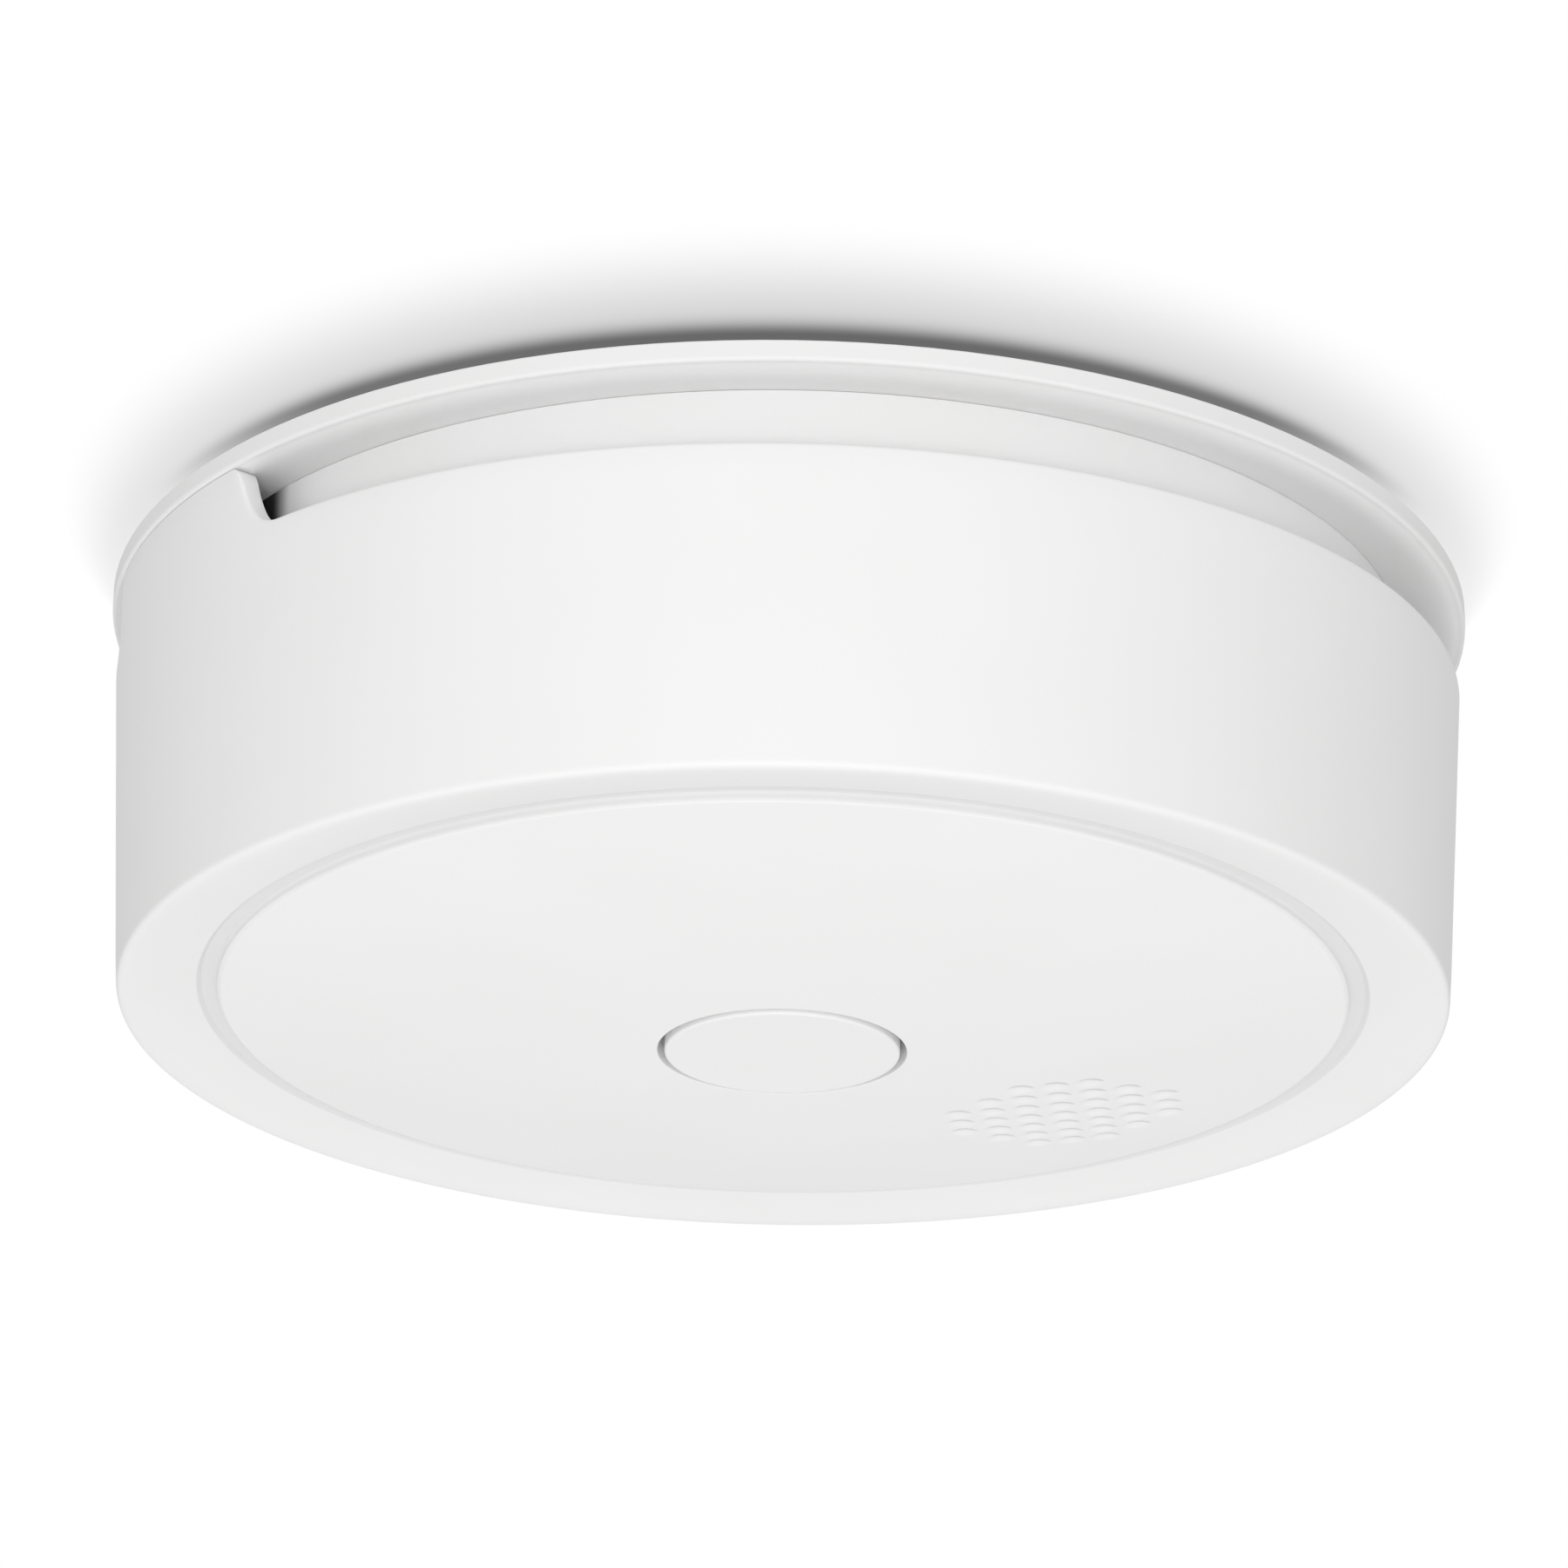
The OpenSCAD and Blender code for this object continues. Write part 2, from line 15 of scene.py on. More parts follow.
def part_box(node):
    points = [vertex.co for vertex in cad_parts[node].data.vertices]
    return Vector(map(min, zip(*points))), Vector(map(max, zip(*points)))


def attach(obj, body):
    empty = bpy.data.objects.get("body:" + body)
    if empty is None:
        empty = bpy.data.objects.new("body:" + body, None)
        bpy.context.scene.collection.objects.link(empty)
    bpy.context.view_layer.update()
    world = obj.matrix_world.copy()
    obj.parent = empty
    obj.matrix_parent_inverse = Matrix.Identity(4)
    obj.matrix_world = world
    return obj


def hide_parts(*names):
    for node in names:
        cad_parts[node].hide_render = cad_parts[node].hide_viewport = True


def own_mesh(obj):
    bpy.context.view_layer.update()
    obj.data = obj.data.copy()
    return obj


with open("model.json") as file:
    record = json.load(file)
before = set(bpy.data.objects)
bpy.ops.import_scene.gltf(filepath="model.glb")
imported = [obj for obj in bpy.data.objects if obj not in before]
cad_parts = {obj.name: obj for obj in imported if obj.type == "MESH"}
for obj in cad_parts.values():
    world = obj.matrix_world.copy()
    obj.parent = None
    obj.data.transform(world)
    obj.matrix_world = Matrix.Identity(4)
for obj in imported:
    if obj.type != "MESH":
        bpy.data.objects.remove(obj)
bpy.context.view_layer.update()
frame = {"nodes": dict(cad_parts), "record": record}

MM = 0.001


def box_mm(node):
    """Lowest and highest corner of a CAD node, in millimetres."""
    return [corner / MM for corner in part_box(node)]


# ---- Cover: face, wall and upper edge ----

LEG_TOP = box_mm("front_cover")[1].z
FLANGE_R = box_mm("mounting_base")[1].x
CROWN_Z = box_mm("test_button")[0].z
FACE_Z = CROWN_Z + 3.45
FACE_R = 57.7
WALL = 2.0
WALL_DRAFT = 0.045
INNER_FOOT_Z = FACE_Z + 3.6

# Radii of the wall's rounded upper edge, over the inlets and on the legs
WALL_EDGE = 0.4
LEG_EDGE = 0.06

# The soft edge of the face: how far it reaches up the wall and in over the rim, and how round its corner is
FACE_EDGE = 0.9
FACE_BLEND = 2.2
FACE_SOFTNESS = 0.35

# The rim between the legs, which bows up from its lowest point, and the ends of the legs
RIM_Z = -8.8
RIM_BOW = 0.8
RIM_LOW_DIR = -82.0
INLET_SPAN = 143.4
INLET_DIR = -64.6
LEG_REACH = 6.2

# ---- Cover: groove, panel, button hole, sounder mark and bosses ----

GROOVE_RO = 50.8
GROOVE_RI = 49.0
GROOVE_FLOOR = FACE_Z + 1.48
RIM_RISE = 1.15
PANEL_R = GROOVE_RI - 0.3
PANEL_EDGE_Z = FACE_Z + 0.65
PANEL_RISE = PANEL_EDGE_Z - CROWN_Z
DOME_R = (PANEL_R**2 + PANEL_RISE**2) / (2 * PANEL_RISE)

HOLE_R = 10.8
GUIDE_T = 1.6
GUIDE_TOP = -32.5

SOUND_DIR = 38.0
SOUND_AT = 32.1
MARK_REACH = 12.0
DIMPLE_PITCH = 3.07
DIMPLE_R = 1.15
DIMPLE_DEPTH = 0.2
BALL_R = (DIMPLE_R**2 + DIMPLE_DEPTH**2) / (2 * DIMPLE_DEPTH)

BOSS_AT = 45.0
BOSS_DIRS = (90, 210, 330)
BOSS_R = 3.2
BOSS_BORE_R = 1.48
BOARD_LOW = box_mm("circuit_board")[0].z

# ---- Test button and its spring ----

BUTTON_GAP = 0.6
CAP_T = 1.7
LAMP_X = 4.2
SOCKET_R = 1.5
SOCKET_BORE_R = 0.86
STEM_R = 1.6
SPRING_R = 6.4
SPRING_WIRE_R = 0.3
SPRING_TURNS = 6

# ---- Painted shade: how much darker, from 0 to 1 ----

GROOVE_SHADE = 0.12
GAP_SHADE = 0.95
DIMPLE_SHADE = 0.3
LIP_SHADE = 0.1
POCKET_SHADE = 0.97

# The dark pockets of painted shade behind the leg ends: how far past the rim's end, and how wide with and
# without their fringe
POCKET_TURN = 10.2
POCKET_DARK = 1.8
POCKET_END = 4.7

# ---- Studio: light levels, and places in metres ----

WORLD_LIGHT = 0.88
SIDE_DARKNESS = 0.42
FRONT_LIGHT = (-0.06, -1.41, -0.56)
FRONT_POWER = 5.5
BELOW_LIGHT = (0.0, -0.5, -1.42)
BELOW_POWER = 2.6
LIGHT_SIZE = 0.5
LIGHT_AIM = (0, 0, -0.02)

CAMERA_AT = (0, -0.62313, -0.26486)
CAMERA_LENS = 175.61
CAMERA_PITCH = 21.847
CAMERA_YAW = 0.019
CAMERA_ROLL = 0.911

# ---- Ceiling and the painted contact shadow on it: widths in millimetres, depths from 0 to 1 ----

CEILING_GAP = 0.4
CEILING_HALF = 1200
SHADOW_EDGE = 2.5
SHADOW_EDGE_DEPTH = 0.5
SHADOW_FRINGE = 21.5
SHADOW_FRINGE_DEPTH = 0.36
SHADOW_LEAST = 0.1


# ---- Outlines ----


def wall_r(z):
    return FACE_R + WALL_DRAFT * (z - FACE_Z)


def dome_z(r):
    return CROWN_Z + DOME_R - math.sqrt(DOME_R**2 - r * r)


def around(radius, direction):
    """The (x, y) at a radius and a direction in degrees."""
    a = math.radians(direction)
    return radius * math.cos(a), radius * math.sin(a)


def arc(cx, cy, r, a0, a1, steps):
    angles = [math.radians(a0 + (a1 - a0) * i / steps) for i in range(steps + 1)]
    return [(cx + r * math.cos(a), cy + r * math.sin(a)) for a in angles]


def rounded(corners, steps=5):
    """A line through (x, y, radius) corners, each turned into an arc of that radius."""
    line = []
    for i, (x, y, radius) in enumerate(corners):
        if radius == 0 or i in (0, len(corners) - 1):
            line.append((x, y))
            continue
        here = Vector((x, y))
        back = (Vector(corners[i - 1][:2]) - here).normalized()
        ahead = (Vector(corners[i + 1][:2]) - here).normalized()
        half = back.angle(ahead) / 2
        reach = radius / math.tan(half)
        centre = here + (back + ahead).normalized() * (radius / math.sin(half))
        start = here + back * reach - centre
        turn = start.angle_signed(here + ahead * reach - centre)
        for k in range(steps + 1):
            cos, sin = math.cos(-turn * k / steps), math.sin(-turn * k / steps)
            swung = Vector((start.x * cos - start.y * sin, start.x * sin + start.y * cos))
            line.append(tuple(centre + swung))
    return line


def bezier(points, t):
    weights = ((1 - t) ** 3, 3 * t * (1 - t) ** 2, 3 * t * t * (1 - t), t**3)
    return tuple(sum(w * point[k] for w, point in zip(weights, points)) for k in (0, 1))


def ease(value, low, high):
    """Rises smoothly from 0 to 1 as a value goes from low to high."""
    share = min(1.0, max(0.0, (value - low) / (high - low)))
    return share * share * (3 - 2 * share)


# ---- Meshes ----


def make_object(name, bm, shade=None):
    """An object from a bmesh in millimetres; shade(x, y, z) gives how much painted shade darkens its finish
    at a point.
    """
    bmesh.ops.recalc_face_normals(bm, faces=bm.faces)
    if shade:
        layer = bm.verts.layers.float.new("shade")
        for vert in bm.verts:
            vert[layer] = shade(*vert.co)
    bmesh.ops.scale(bm, vec=(MM, MM, MM), verts=bm.verts)
    mesh = bpy.data.meshes.new(name)
    bm.to_mesh(mesh)
    bm.free()
    for polygon in mesh.polygons:
        polygon.use_smooth = True
    made = bpy.data.objects.new(name, mesh)
    bpy.context.scene.collection.objects.link(made)
    return made


def stand_in(made, node, body):
    """Puts a finer piece in the place of a CAD node."""
    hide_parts(node)
    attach(made, body)


def revolve(bm, outline, columns=240, centre=(0, 0)):
    """Turns a closed (r, z) outline round an upright axis. Points on the axis become one vertex."""
    angles = [2 * math.pi * j / columns for j in range(columns)]
    cx, cy = centre
    rings = []
    for r, z in outline:
        if r < 1e-6:
            rings.append([bm.verts.new((cx, cy, z))])
        else:
            rings.append([bm.verts.new((cx + r * math.cos(a), cy + r * math.sin(a), z)) for a in angles])
    for low, high in zip(rings, rings[1:] + rings[:1]):
        for j in range(columns):
            k = (j + 1) % columns
            corners = [low[j % len(low)], low[k % len(low)], high[k % len(high)], high[j % len(high)]]
            distinct = list(dict.fromkeys(corners))
            if len(distinct) > 2:
                bm.faces.new(distinct)


# ---- Front cover: upper edge of the wall ----


def rim_floor(offset):
    """Height of the rim at an offset from an inlet's middle. It rises by RIM_BOW in 60 degrees."""
    share = math.sin(math.radians(offset + INLET_DIR - RIM_LOW_DIR)) / math.sin(math.radians(60))
    return RIM_Z + RIM_BOW * share * share


def leg_end_curve(rim_end, steps=30):
    """From the top of a leg down to the rim: (distance along the wall, height) pairs."""
    lean = ((-LEG_REACH, LEG_TOP), (-LEG_REACH + 2, LEG_TOP), (-LEG_REACH + 1.2, rim_end), (0, rim_end))
    return [bezier(lean, i / steps) for i in range(steps + 1)]


def leg_end(side):
    """Edge points of the leg end at one side (-1 or 1) of an inlet, from the leg's top down to the rim."""
    half = INLET_SPAN / 2
    reach = math.degrees(LEG_REACH / FACE_R)
    curve = leg_end_curve(rim_floor(side * half))
    last = len(curve) - 1
    points = []
    for i, (along, z) in enumerate(curve):
        foot = half + reach * (1 - i / last)
        at = half - math.degrees(along / FACE_R)
        points.append((side * foot, side * at, z))
    return points


def wall_top(step=1.5):
    """Upper edge of the wall in order all the way round.

    Each point is (direction at the foot of the wall, direction at the edge, height).
    """
    half = INLET_SPAN / 2
    reach = math.degrees(LEG_REACH / FACE_R)
    count = round(INLET_SPAN / step)
    rim = [(a, a, rim_floor(a)) for a in (half * (2 * i / count - 1) for i in range(1, count))]
    gap = 180 - INLET_SPAN - 2 * reach
    count = round(gap / step)
    leg = [(a, a, LEG_TOP) for a in (half + reach + gap * i / count for i in range(1, count))]
    once = leg_end(-1) + rim + leg_end(1)[::-1] + leg
    return [(turn + foot, turn + at, z) for turn in (INLET_DIR, INLET_DIR + 180) for foot, at, z in once]


def edge_normals(edge):
    """Unit vectors (along the wall, up) that point from the wall's upper edge into the wall."""
    normals = []
    for i in range(len(edge)):
        _, a0, z0 = edge[i - 1]
        _, a1, z1 = edge[(i + 1) % len(edge)]
        run = math.radians((a1 - a0 + 180) % 360 - 180) * FACE_R
        length = math.hypot(run, z1 - z0)
        normals.append(((z1 - z0) / length, -run / length))
    return normals


# ---- Front cover: sounder mark ----


def dimples():
    """Centres of the sounder mark: seven by seven without the corners, set diagonally to the radius."""
    turn = math.radians(SOUND_DIR)
    centres = []
    for i in range(-3, 4):
        for j in range(-3, 4):
            if abs(i) + abs(j) < 5:
                out = SOUND_AT + DIMPLE_PITCH * (i + j) * math.sqrt(0.5)
                side = DIMPLE_PITCH * (j - i) * math.sqrt(0.5)
                centres.append((
                    out * math.cos(turn) - side * math.sin(turn),
                    out * math.sin(turn) + side * math.cos(turn),
                ))
    return centres


DIMPLES = dimples()


def face_height(r, angle):
    """Height of the domed panel, with the dimples pressed into it."""
    base = dome_z(r)
    x, y = around(r, angle)
    soft = 0.05
    for cx, cy in DIMPLES:
        d2 = (x - cx) ** 2 + (y - cy) ** 2
        if d2 < (1.35 * DIMPLE_R) ** 2:
            ball_z = dome_z(math.hypot(cx, cy)) + DIMPLE_DEPTH - BALL_R
            rise = ball_z + math.sqrt(BALL_R**2 - d2) - base
            return base + (rise + math.sqrt(rise * rise + soft * soft)) / 2
    return base


# ---- Front cover: rings round its section ----

# A ring is a function that gives the (radius, direction, height) of its point on a column.


def ring_at(r, z):
    return lambda column: (r, column["angle"], z)


def dome_ring(r):
    return lambda column: (r, column["angle"], face_height(r, column["angle"]))


def edge_ring(inset, turned_in, turned_down):
    """A ring along the wall's upper edge; the last two are shares of the edge's own rounding."""
    def place(column):
        along, up = column["normal"]
        rounding = column["rounding"]
        z = column["top"] + turned_down * rounding * up
        angle = column["edge"] + math.degrees(turned_down * rounding * along / FACE_R)
        return (wall_r(z) - inset - turned_in * rounding, angle, z)
    return place


def wall_ring(share, foot, inset):
    """A ring of the wall, a share of the way up from foot to the rounded upper edge."""
    top = edge_ring(inset, 0, 1)
    def place(column):
        _, angle, z = top(column)
        height = foot + (z - foot) * share
        return (wall_r(height) - inset, column["angle"] + (angle - column["angle"]) * share**3, height)
    return place


def panel_rings():
    """The domed panel, as (ring, is_main) pairs. Rings that aren't main are used near the dimples only."""
    low, high = SOUND_AT - MARK_REACH, SOUND_AT + MARK_REACH
    zones = [(HOLE_R + 0.3, low, 7, 1), (low, high, 16, 8), (high, PANEL_R - 0.5, 4, 1)]
    rings = [(dome_ring(HOLE_R + 0.15), True)]
    for start, end, steps, finer in zones:
        count = steps * finer
        rings += [(dome_ring(start + (end - start) * i / count), i % finer == 0) for i in range(count)]
    return rings + [(dome_ring(PANEL_R - 0.5), True), (dome_ring(PANEL_R - 0.35), True)]


def face_rings():
    """The panel's edge, the groove, the sloping rim and the soft edge of the face."""
    slope = RIM_RISE / (FACE_R - GROOVE_RO)
    section = rounded([
        (PANEL_R - 0.35, dome_z(PANEL_R - 0.35), 0),
        (PANEL_R, PANEL_EDGE_Z, 0.2),
        (GROOVE_RI, PANEL_EDGE_Z + 0.25, 0.15),
        (GROOVE_RI + 0.05, GROOVE_FLOOR, 0.3),
        (GROOVE_RO - 0.4, GROOVE_FLOOR, 0.2),
        (GROOVE_RO, FACE_Z + RIM_RISE, 0.2),
        (FACE_R - FACE_BLEND, FACE_Z + slope * FACE_BLEND, 0),
    ])[1:]
    edge = (
        section[-1],
        (FACE_R - FACE_SOFTNESS, FACE_Z + slope * FACE_SOFTNESS),
        (FACE_R, FACE_Z + FACE_SOFTNESS / 2),
        (FACE_R, FACE_Z + FACE_EDGE),
    )
    section += [bezier(edge, i / 16) for i in range(1, 17)]
    return [ring_at(r, z) for r, z in section]


def wall_rings():
    """The outer wall, its rounded upper edge and the inner wall."""
    rings = [wall_ring(i / 14, FACE_Z + FACE_EDGE, 0) for i in range(1, 15)]
    for i in range(1, 6):
        a = math.radians(90 * i / 5)
        rings.append(edge_ring(0, 1 - math.cos(a), 1 - math.sin(a)))
    for i in range(5):
        a = math.radians(90 * i / 4)
        rings.append(edge_ring(WALL, math.sin(a) - 1, 1 - math.cos(a)))
    return rings + [wall_ring(1 - i / 8, INNER_FOOT_Z, WALL) for i in range(1, 9)]


def inside_rings():
    """The inside of the face, and the sleeve that guides the button."""
    floor_z = FACE_Z + RIM_RISE + WALL - 0.1
    dome_start = PANEL_R - 1.5
    section = rounded([
        (wall_r(INNER_FOOT_Z) - WALL, INNER_FOOT_Z, 0),
        (GROOVE_RO + 2.6, floor_z, 0.8),
        (GROOVE_RI - 0.5, floor_z, 0.6),
        (dome_start, dome_z(dome_start) + WALL, 0),
    ])[1:]
    sleeve_r = HOLE_R + GUIDE_T
    steps = 10
    radii = [dome_start - (dome_start - sleeve_r) * i / steps for i in range(1, steps)]
    section += [(r, dome_z(r) + WALL) for r in radii]
    section += rounded([
        (sleeve_r + 1.5, dome_z(sleeve_r) + WALL, 0),
        (sleeve_r, dome_z(sleeve_r) + WALL, 0.5),
        (sleeve_r, GUIDE_TOP, 0.3),
        (HOLE_R, GUIDE_TOP, 0.3),
        (HOLE_R, dome_z(HOLE_R), 0.1),
        (HOLE_R + 0.2, dome_z(HOLE_R + 0.2), 0),
    ], steps=3)[1:-1]
    return [ring_at(r, z) for r, z in section]


# ---- Front cover: columns round its axis, and its mesh ----


def cover_columns():
    """Columns in order round the axis; those that aren't main are used near the dimples only."""
    edge = wall_top()
    columns = []
    for (foot, at, top), normal in zip(edge, edge_normals(edge)):
        share = min(1.0, (LEG_TOP - top) / 2)
        rounding = LEG_EDGE + (WALL_EDGE - LEG_EDGE) * share
        column = {"angle": foot, "edge": at, "top": top, "normal": normal, "rounding": rounding, "main": True}
        columns.append(column)
    reach = math.degrees(math.asin(MARK_REACH / SOUND_AT))
    filled = []
    for i, column in enumerate(columns):
        filled.append(column)
        gap = (columns[(i + 1) % len(columns)]["angle"] - column["angle"]) % 360
        swing = (column["angle"] + gap / 2 - SOUND_DIR + 180) % 360 - 180
        column["marked"] = abs(swing) < reach
        if column["marked"]:
            count = max(1, round(gap / 0.3))
            filled += [{"angle": column["angle"] + gap * k / count, "main": False} for k in range(1, count)]
    return filled


def patch_cells(rings, columns):
    """Faces of the cover as index ranges: single steps near the dimples, whole steps elsewhere."""
    ring_ends = [i for i, (_, main) in enumerate(rings) if main]
    column_ends = [j for j, column in enumerate(columns) if column["main"]]
    cells = []
    for i0, i1 in zip(ring_ends, ring_ends[1:] + [len(rings)]):
        for j0, j1 in zip(column_ends, column_ends[1:] + [len(columns) + column_ends[0]]):
            if i1 - i0 > 1 and columns[j0]["marked"]:
                cells += [(i, i + 1, j, j + 1) for i in range(i0, i1) for j in range(j0, j1)]
            else:
                cells.append((i0, i1, j0, j1))
    return cells


def cover_shade(x, y, z):
    """Painted shade: darker in the groove, in the gap round the button and on the near (-Y) side of each
    dimple.
    """
    r = math.hypot(x, y)
    if z > GROOVE_FLOOR + 0.3 or r > GROOVE_RO + 1 or r < HOLE_R - 1:
        return 0.0
    near_wall = ease(r, GROOVE_RI - 0.3, GROOVE_RI - 0.1) * ease(-y / r, 0.2, 0.9)
    inside = max(near_wall, ease(r, GROOVE_RI, GROOVE_RI + 0.2))
    groove = inside * (1 - ease(r, GROOVE_RO - 0.1, GROOVE_RO + 0.1))
    gap = (1 - ease(r, HOLE_R + 0.02, HOLE_R + 0.1)) * ease(z, CROWN_Z + 0.35, CROWN_Z + 0.7)
    crescent = 0.0
    for cx, cy in DIMPLES:
        if abs(x - cx) < DIMPLE_R * 1.2 and abs(y - cy) < DIMPLE_R * 1.2:
            d = math.hypot(x - cx, y - cy) / DIMPLE_R
            crescent = (1 - ease(d, 0.95, 1.1)) * ease((cy - y) / DIMPLE_R, 0.1, 0.75)
    return max(GROOVE_SHADE * groove, GAP_SHADE * gap, DIMPLE_SHADE * crescent)


def add_cover_skin(bm):
    plain = face_rings() + wall_rings() + inside_rings()
    rings = panel_rings() + [(ring, True) for ring in plain]
    columns = cover_columns()
    rows, cols = len(rings), len(columns)
    cells = patch_cells(rings, columns)
    used = {(i % rows, j % cols) for i0, i1, j0, j1 in cells for i in (i0, i1) for j in (j0, j1)}
    verts = {}
    for i, j in sorted(used):
        r, angle, z = rings[i][0](columns[j])
        verts[i, j] = bm.verts.new((*around(r, angle), z))
    for i0, i1, j0, j1 in cells:
        walk = [(i0, j) for j in range(j0, j1)]
        walk += [(i, j1) for i in range(i0, i1)]
        walk += [(i1, j) for j in range(j1, j0, -1)]
        walk += [(i, j0) for i in range(i1, i0, -1)]
        keys = [(i % rows, j % cols) for i, j in walk]
        bm.faces.new([verts[key] for key in keys if key in verts])


def add_screw_bosses(bm):
    low = dome_z(BOSS_AT) + WALL / 2
    top = BOARD_LOW - 0.03
    outline = rounded([
        (BOSS_BORE_R, low, 0),
        (BOSS_R, low, 0),
        (BOSS_R, top, 0.3),
        (BOSS_BORE_R, top, 0.2),
        (BOSS_BORE_R, low + 3, 0),
    ], steps=3)
    for direction in BOSS_DIRS:
        revolve(bm, outline, columns=48, centre=around(BOSS_AT, direction))


def build_cover():
    bm = bmesh.new()
    add_cover_skin(bm)
    add_screw_bosses(bm)
    stand_in(make_object("cover_shell", bm, cover_shade), "front_cover", "head")


# ---- Test button and its spring ----


def button_shade(x, y, z):
    """Painted shade on the button's side, in the gap round it."""
    return GAP_SHADE * ease(z, CROWN_Z + 0.45, CROWN_Z + 0.8)


def build_button():
    """A flat cap on a skirt with a stop flange, a stem for the switch and a socket for the light guide."""
    radius = HOLE_R - BUTTON_GAP
    cap_in = CROWN_Z + CAP_T
    stop_low = GUIDE_TOP + 0.08
    stop_high = stop_low + 1.2
    stop_r = radius + 1.75
    skirt_r = radius - 1.25
    stem_top = box_mm("test_button")[1].z
    outline = [(radius * i / 12, CROWN_Z) for i in range(12)]
    outline += rounded([
        (radius - 0.5, CROWN_Z, 0),
        (radius, CROWN_Z, 0.25),
        (radius, stop_low, 0.15),
        (stop_r, stop_low, 0.2),
        (stop_r, stop_high, 0.2),
        (skirt_r, stop_high, 0.3),
        (skirt_r, cap_in, 0.4),
        (STEM_R, cap_in, 0.3),
        (STEM_R, stem_top, 0.3),
        (0, stem_top, 0),
    ], steps=4)
    bm = bmesh.new()
    revolve(bm, outline)
    socket = [
        (SOCKET_BORE_R, cap_in - 0.4),
        (SOCKET_R, cap_in - 0.4),
        (SOCKET_R, cap_in + 2.9),
        (SOCKET_R - 0.1, cap_in + 3),
        (SOCKET_BORE_R, cap_in + 3),
    ]
    revolve(bm, socket, columns=40, centre=(LAMP_X, 0))
    stand_in(make_object("button_cap", bm, button_shade), "test_button", "button")


def build_spring():
    """A coil of round wire between the cap and the board."""
    low, high = box_mm("button_spring")
    rise = high.z - low.z - 2 * SPRING_WIRE_R
    steps = 40 * SPRING_TURNS
    sides = 12
    bm = bmesh.new()
    loops = []
    for i in range(steps + 1):
        a = 2 * math.pi * SPRING_TURNS * i / steps
        z = low.z + SPRING_WIRE_R + rise * i / steps
        wire = arc(SPRING_R, z, SPRING_WIRE_R, 0, 360, sides)[:-1]
        loops.append([bm.verts.new((r * math.cos(a), r * math.sin(a), height)) for r, height in wire])
    for near, far in zip(loops, loops[1:]):
        for k in range(sides):
            n = (k + 1) % sides
            bm.faces.new((near[k], far[k], far[n], near[n]))
    bm.faces.new(loops[0])
    bm.faces.new(loops[-1])
    spring = make_object("coil_spring", bm)
    stand_in(spring, "button_spring", "head")
    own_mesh(spring)


build_cover()
build_button()
build_spring()


# ---- Shader nodes ----


class Graph:
    """The shader nodes of a material or world, joined up as they are made."""

    def __init__(self, owner):
        owner.use_nodes = True
        self.nodes = owner.node_tree.nodes
        self.links = owner.node_tree.links

    def node(self, kind, **settings):
        made = self.nodes.new("ShaderNode" + kind)
        for name, value in settings.items():
            setattr(made, name, value)
        return made

    def feed(self, socket, value):
        """Gives an input socket another node's output, or a plain number, vector or colour."""
        if isinstance(value, bpy.types.NodeSocket):
            self.links.new(value, socket)
        else:
            socket.default_value = value

    def math(self, operation, *values, clamp=False):
        node = self.node("Math", operation=operation, use_clamp=clamp)
        for socket, value in zip(node.inputs, values):
            self.feed(socket, value)
        return node.outputs["Value"]

    def vector_math(self, operation, first, second, output="Vector"):
        node = self.node("VectorMath", operation=operation)
        self.feed(node.inputs[0], first)
        self.feed(node.inputs[1], second)
        return node.outputs[output]

    def spread(self, value, start, end, low=0.0, high=1.0, kind="SMOOTHSTEP"):
        """Goes from low to high as a value goes from start to end."""
        node = self.node("MapRange", interpolation_type=kind)
        self.feed(node.inputs["Value"], value)
        for name, number in (("From Min", start), ("From Max", end), ("To Min", low), ("To Max", high)):
            self.feed(node.inputs[name], number)
        return node.outputs["Result"]

    def split(self, vector):
        """The X, Y and Z outputs of a vector."""
        node = self.node("SeparateXYZ")
        self.feed(node.inputs["Vector"], vector)
        return node.outputs

    def mix_shaders(self, share, first, second):
        node = self.node("MixShader")
        self.feed(node.inputs["Fac"], share)
        self.feed(node.inputs[1], first)
        self.feed(node.inputs[2], second)
        return node.outputs["Shader"]


FINISHES = {}


